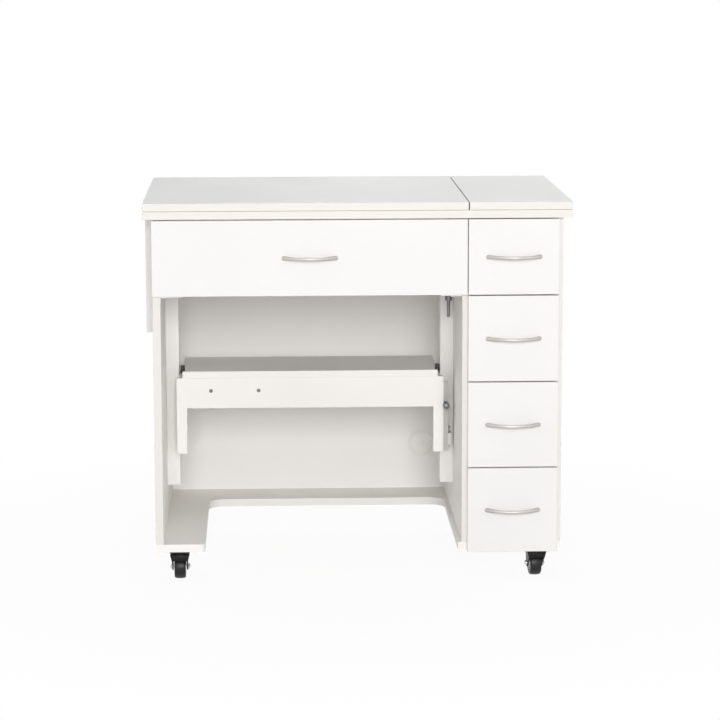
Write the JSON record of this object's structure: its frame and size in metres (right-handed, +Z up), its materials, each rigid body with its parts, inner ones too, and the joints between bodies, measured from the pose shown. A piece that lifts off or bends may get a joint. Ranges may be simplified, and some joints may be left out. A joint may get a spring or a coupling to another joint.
{
  "type": "folding sewing and cutting table",
  "caption": "White board cabinet table on casters: lids that fold out to the sides, a drop front, a lift for a sewing machine in the knee space and a column of drawers.",
  "frame": {"origin": "on the floor, under the middle of the table's whole box", "axes": "+X to the seated user's right, along the table's width; +Y from the front to the back; +Z up"},
  "size_m": [0.871, 0.5886, 0.7775],
  "materials": {
    "white_melamine": "satin white melamine on board, banded edges",
    "white_back_board": "satin white thin fibreboard",
    "drawer_box_board": "satin white foil on board",
    "runner_steel": "white powder coat",
    "satin_nickel": "satin nickel plate",
    "hinge_steel": "nickel-plated steel",
    "zinc_screws": "zinc plate",
    "dark_screws": "dark zinc plate",
    "white_plastic": "satin moulded plastic",
    "slide_plastic": "plain nylon",
    "white_painted_steel": "white powder coat",
    "stop_rod_steel": "grey zinc-plated rod",
    "black_plastic": "black moulded plastic",
    "caster_plate_steel": "black paint on pressed steel",
    "black_painted_steel": "black paint on pressed steel, bright axle",
    "black_tyre": "smooth black tread"
  },
  "bodies": {
    "cabinet": {"floor_board": "white_melamine", "left_side_panel": "white_melamine", "divider_panel": "white_melamine", "right_side_panel": "white_melamine", "back_panel": "white_back_board", "table_top": "white_melamine", "carcass_screws": "zinc_screws", "cable_grommet": "white_plastic", "grommet_cap": "white_plastic", "fixed_runners": "runner_steel", "lid_hinge_lower_leaves": "hinge_steel", "lid_hinge_pins": "hinge_steel", "support_hinge_wall_leaves": "hinge_steel", "drop_front_hinge_brackets": "hinge_steel", "left_lift_post": "white_melamine", "right_lift_post": "white_melamine", "lift_stop_rod": "stop_rod_steel", "caster_plates": "caster_plate_steel", "caster_screws": "zinc_screws"},
    "left_lid": {"left_lid": "white_melamine", "left_lid_hinge_leaves": "hinge_steel"},
    "right_lid": {"right_lid": "white_melamine", "right_lid_hinge_leaves": "hinge_steel"},
    "leaf_support": {"leaf_support": "white_melamine", "support_hinge_board_leaves": "hinge_steel"},
    "drop_front": {"drop_front": "white_melamine", "drop_front_handle": "satin_nickel", "drop_front_hinge_leaves": "hinge_steel"},
    "drawer_1": {"drawer_1_front": "white_melamine", "drawer_1_handle": "satin_nickel", "drawer_1_box": "drawer_box_board", "drawer_1_runners": "runner_steel"},
    "drawer_2": {"drawer_2_front": "white_melamine", "drawer_2_handle": "satin_nickel", "drawer_2_box": "drawer_box_board", "drawer_2_runners": "runner_steel"},
    "drawer_3": {"drawer_3_front": "white_melamine", "drawer_3_handle": "satin_nickel", "drawer_3_box": "drawer_box_board", "drawer_3_runners": "runner_steel"},
    "drawer_4": {"drawer_4_front": "white_melamine", "drawer_4_handle": "satin_nickel", "drawer_4_box": "drawer_box_board", "drawer_4_runners": "runner_steel"},
    "lift_carriage": {"lift_platform": "white_melamine", "lift_apron": "white_melamine", "apron_screws": "dark_screws", "lift_arms": "white_painted_steel", "lift_slide_blocks": "slide_plastic", "platform_end_clips": "black_plastic", "lift_stop_screw": "zinc_screws"},
    "lift_lock": {"lift_lock_knob": "black_plastic"},
    "front_left_swivel": {"front_left_caster_fork": "black_painted_steel"},
    "front_left_wheel": {"front_left_caster_wheel": "black_tyre"},
    "front_right_swivel": {"front_right_caster_fork": "black_painted_steel"},
    "front_right_wheel": {"front_right_caster_wheel": "black_tyre"},
    "rear_left_swivel": {"rear_left_caster_fork": "black_painted_steel"},
    "rear_left_wheel": {"rear_left_caster_wheel": "black_tyre"},
    "rear_right_swivel": {"rear_right_caster_fork": "black_painted_steel"},
    "rear_right_wheel": {"rear_right_caster_wheel": "black_tyre"}
  },
  "joints": [
    {"name": "left_lid_fold", "type": "hinge", "parent": "cabinet", "child": "left_lid", "pos_m": [-0.43275, 0.01225, 0.76125], "axis": [0, -1, 0], "range_deg": [0, 180]},
    {"name": "right_lid_fold", "type": "hinge", "parent": "cabinet", "child": "right_lid", "pos_m": [0.43275, 0.01225, 0.76125], "axis": [0, 1, 0], "range_deg": [0, 180]},
    {"name": "leaf_support_swing", "type": "hinge", "parent": "cabinet", "child": "leaf_support", "pos_m": [-0.4158, 0.14455, 0.6233], "axis": [0, 0, -1], "range_deg": [0, 90]},
    {"name": "drop_front_tilt", "type": "hinge", "parent": "cabinet", "child": "drop_front", "pos_m": [-0.09675, -0.24725, 0.5865], "axis": [1, 0, 0], "range_deg": [0, 90]},
    {"name": "drawer_1_slide", "type": "slide", "parent": "cabinet", "child": "drawer_1", "axis": [0, -1, 0], "range_m": [0, 0.34]},
    {"name": "drawer_2_slide", "type": "slide", "parent": "cabinet", "child": "drawer_2", "axis": [0, -1, 0], "range_m": [0, 0.34]},
    {"name": "drawer_3_slide", "type": "slide", "parent": "cabinet", "child": "drawer_3", "axis": [0, -1, 0], "range_m": [0, 0.34]},
    {"name": "drawer_4_slide", "type": "slide", "parent": "cabinet", "child": "drawer_4", "axis": [0, -1, 0], "range_m": [0, 0.34]},
    {"name": "lift_rise", "type": "slide", "parent": "cabinet", "child": "lift_carriage", "axis": [0, 0, 1], "range_m": [0, 0.233]},
    {"name": "lift_lock_turn", "type": "hinge", "parent": "lift_carriage", "child": "lift_lock", "pos_m": [0.193, -0.03, 0.324], "axis": [0, 1, 0], "range_deg": [0, 270]},
    {"name": "front_left_swivel_turn", "type": "hinge", "parent": "cabinet", "child": "front_left_swivel", "pos_m": [-0.365, -0.22925, 0.0535], "axis": [0, 0, 1], "continuous": true},
    {"name": "front_left_wheel_spin", "type": "hinge", "parent": "front_left_swivel", "child": "front_left_wheel", "pos_m": [-0.365, -0.21425, 0.025], "axis": [1, 0, 0], "continuous": true},
    {"name": "front_right_swivel_turn", "type": "hinge", "parent": "cabinet", "child": "front_right_swivel", "pos_m": [0.365, -0.22925, 0.0535], "axis": [0, 0, 1], "continuous": true},
    {"name": "front_right_wheel_spin", "type": "hinge", "parent": "front_right_swivel", "child": "front_right_wheel", "pos_m": [0.36395, -0.21429, 0.025], "axis": [0.9976, 0.0698, 0], "continuous": true},
    {"name": "rear_left_swivel_turn", "type": "hinge", "parent": "cabinet", "child": "rear_left_swivel", "pos_m": [-0.365, 0.24025, 0.0535], "axis": [0, 0, 1], "continuous": true},
    {"name": "rear_left_wheel_spin", "type": "hinge", "parent": "rear_left_swivel", "child": "rear_left_wheel", "pos_m": [-0.365, 0.25525, 0.025], "axis": [1, 0, 0], "continuous": true},
    {"name": "rear_right_swivel_turn", "type": "hinge", "parent": "cabinet", "child": "rear_right_swivel", "pos_m": [0.365, 0.24025, 0.0535], "axis": [0, 0, 1], "continuous": true},
    {"name": "rear_right_wheel_spin", "type": "hinge", "parent": "rear_right_swivel", "child": "rear_right_wheel", "pos_m": [0.365, 0.25525, 0.025], "axis": [1, 0, 0], "continuous": true}
  ]
}
